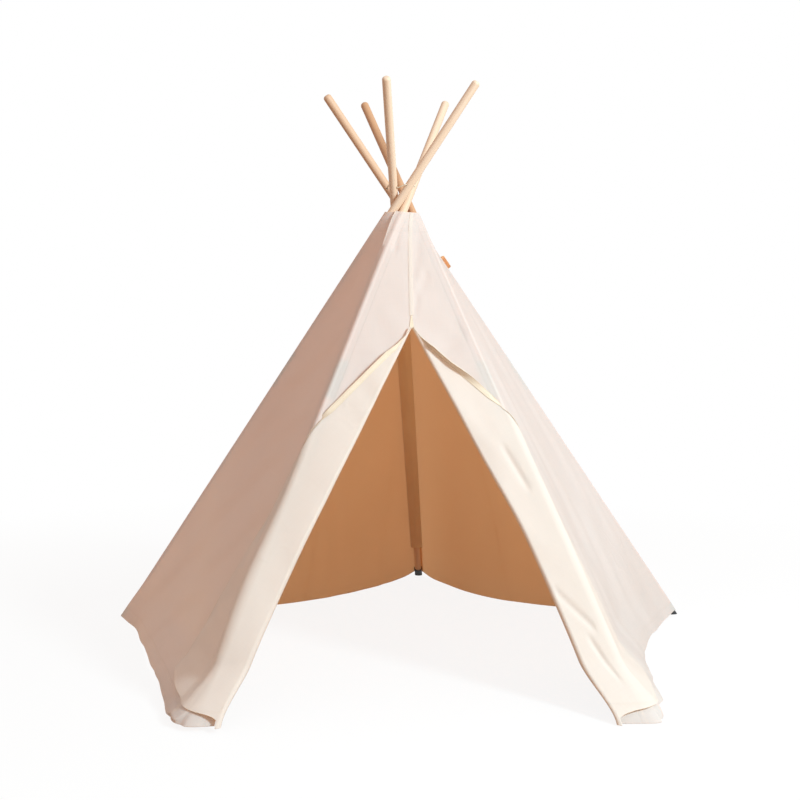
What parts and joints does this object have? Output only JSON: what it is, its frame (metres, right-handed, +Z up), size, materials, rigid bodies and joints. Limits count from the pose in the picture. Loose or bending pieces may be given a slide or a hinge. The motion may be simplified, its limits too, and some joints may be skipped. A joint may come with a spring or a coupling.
{
  "type": "kids teepee",
  "caption": "Child-size teepee: wooden poles lashed near the top under a canvas cover with sleeves, and a split front door whose two flaps are folded back round the front poles.",
  "frame": {"origin": "centre of the bounding box, on the floor under the feet", "axes": "+Z up, -Y out through the door, +X to the right seen from the door side"},
  "size_m": [1.6241, 1.6296, 1.4851],
  "materials": {
    "pine": "smooth pale pine, lightly waxed",
    "ferrule_steel": "thin plain tube",
    "rubber": "matte black",
    "canvas": "natural cream cotton canvas, plain weave",
    "binding_tape": "tan cotton tape, stitched",
    "cord": "twisted cream cotton cord"
  },
  "bodies": {
    "back_pole": {"back_pole_lower": "pine", "back_pole_upper": "pine", "back_pole_ferrule": "ferrule_steel", "back_pole_foot": "rubber", "back_sleeve": "canvas", "lashing_cord": "cord", "back_right_panel": "canvas", "back_left_panel": "canvas"},
    "right_pole": {"right_pole_lower": "pine", "right_pole_upper": "pine", "right_pole_ferrule": "ferrule_steel", "right_pole_foot": "rubber", "right_sleeve": "canvas", "right_panel": "canvas"},
    "front_right_pole": {"front_right_pole_lower": "pine", "front_right_pole_upper": "pine", "front_right_pole_ferrule": "ferrule_steel", "front_right_pole_foot": "rubber", "front_right_sleeve": "canvas"},
    "front_left_pole": {"front_left_pole_lower": "pine", "front_left_pole_upper": "pine", "front_left_pole_ferrule": "ferrule_steel", "front_left_pole_foot": "rubber", "front_left_sleeve": "canvas"},
    "left_pole": {"left_pole_lower": "pine", "left_pole_upper": "pine", "left_pole_ferrule": "ferrule_steel", "left_pole_foot": "rubber", "left_sleeve": "canvas", "left_panel": "canvas"},
    "front_left_cover": {"front_left_panel": "canvas"},
    "front_right_cover": {"front_right_panel": "canvas"},
    "left_door": {"left_door_flap": "canvas", "left_door_binding": "binding_tape"},
    "left_door_wrap": {"left_door_flap_wrap": "canvas", "left_door_binding_wrap": "binding_tape"},
    "right_door": {"right_door_flap": "canvas", "right_door_binding": "binding_tape"},
    "right_door_wrap": {"right_door_flap_wrap": "canvas", "right_door_binding_wrap": "binding_tape"}
  },
  "joints": [
    {"name": "right_pole_fold", "type": "hinge", "parent": "back_pole", "child": "right_pole", "pos_m": [-0.0175, -0.01848, 1.17244], "axis": [0.6093, 0.7604, 0.2248], "range_deg": [0, 32.9], "deforming": ["lashing_cord", "back_right_panel", "right_panel", "right_sleeve", "back_sleeve"]},
    {"name": "front_right_pole_fold", "type": "hinge", "parent": "right_pole", "child": "front_right_pole", "pos_m": [-0.02027, -0.01665, 1.17184], "axis": [0.9181, -0.3302, 0.2194], "range_deg": [0, 35.7], "deforming": ["front_right_sleeve", "right_door_flap", "right_door_flap_wrap", "right_door_binding", "right_door_binding_wrap"]},
    {"name": "left_pole_fold", "type": "hinge", "parent": "back_pole", "child": "left_pole", "pos_m": [-0.02386, -0.02161, 1.17137], "axis": [0.5234, -0.8279, -0.2018], "range_deg": [0, 37.58], "deforming": ["back_left_panel", "left_panel", "left_sleeve"]},
    {"name": "front_left_pole_fold", "type": "hinge", "parent": "left_pole", "child": "front_left_pole", "pos_m": [-0.02733, -0.02082, 1.17231], "axis": [0.9319, 0.2978, -0.207], "range_deg": [0, 36.52], "deforming": ["front_left_sleeve", "left_door_flap", "left_door_flap_wrap", "left_door_binding", "left_door_binding_wrap"]},
    {"name": "front_left_cover_gather", "type": "hinge", "parent": "front_left_pole", "child": "front_left_cover", "pos_m": [-0.59864, -0.92415, -0.3319], "axis": [0.0975, -0.8574, 0.5053], "range_deg": [0, 4.63], "deforming": ["front_left_panel"]},
    {"name": "left_door_turn", "type": "hinge", "parent": "front_left_cover", "child": "left_door", "pos_m": [-0.39557, -0.68836, 0.11774], "axis": [0.4102, 0.484, 0.7729], "range_deg": [0, 175], "deforming": ["left_door_flap", "left_door_binding"]},
    {"name": "left_door_unwrap", "type": "hinge", "parent": "left_door", "child": "left_door_wrap", "pos_m": [-0.35915, -0.55991, 0.3125], "axis": [0.3186, 0.4842, 0.8149], "range_deg": [0, 62.1], "deforming": ["left_door_flap_wrap", "left_door_binding_wrap"]},
    {"name": "front_right_cover_gather", "type": "hinge", "parent": "front_right_pole", "child": "front_right_cover", "pos_m": [0.62511, -0.87965, -0.33383], "axis": [-0.0975, 0.8574, -0.5053], "range_deg": [0, 4.59], "deforming": ["front_right_panel"]},
    {"name": "right_door_turn", "type": "hinge", "parent": "front_right_cover", "child": "right_door", "pos_m": [0.41207, -0.65084, 0.11797], "axis": [0.4319, -0.452, -0.7805], "range_deg": [0, 175], "deforming": ["right_door_flap", "right_door_binding"]},
    {"name": "right_door_unwrap", "type": "hinge", "parent": "right_door", "child": "right_door_wrap", "pos_m": [0.36348, -0.51301, 0.3275], "axis": [0.3384, -0.4731, -0.8134], "range_deg": [0, 62.1], "deforming": ["right_door_flap_wrap", "right_door_binding_wrap"]}
  ],
  "couplings": [
    {"joint": "front_right_pole_fold", "follows": "right_pole_fold", "ratio": 1.0846},
    {"joint": "left_pole_fold", "follows": "right_pole_fold", "ratio": 1.1416},
    {"joint": "front_left_pole_fold", "follows": "right_pole_fold", "ratio": 1.1095},
    {"joint": "front_left_cover_gather", "follows": "right_pole_fold", "ratio": 0.13986},
    {"joint": "left_door_unwrap", "follows": "left_door_turn", "ratio": 0.35429},
    {"joint": "front_right_cover_gather", "follows": "right_pole_fold", "ratio": 0.13884},
    {"joint": "right_door_unwrap", "follows": "right_door_turn", "ratio": 0.35429}
  ]
}
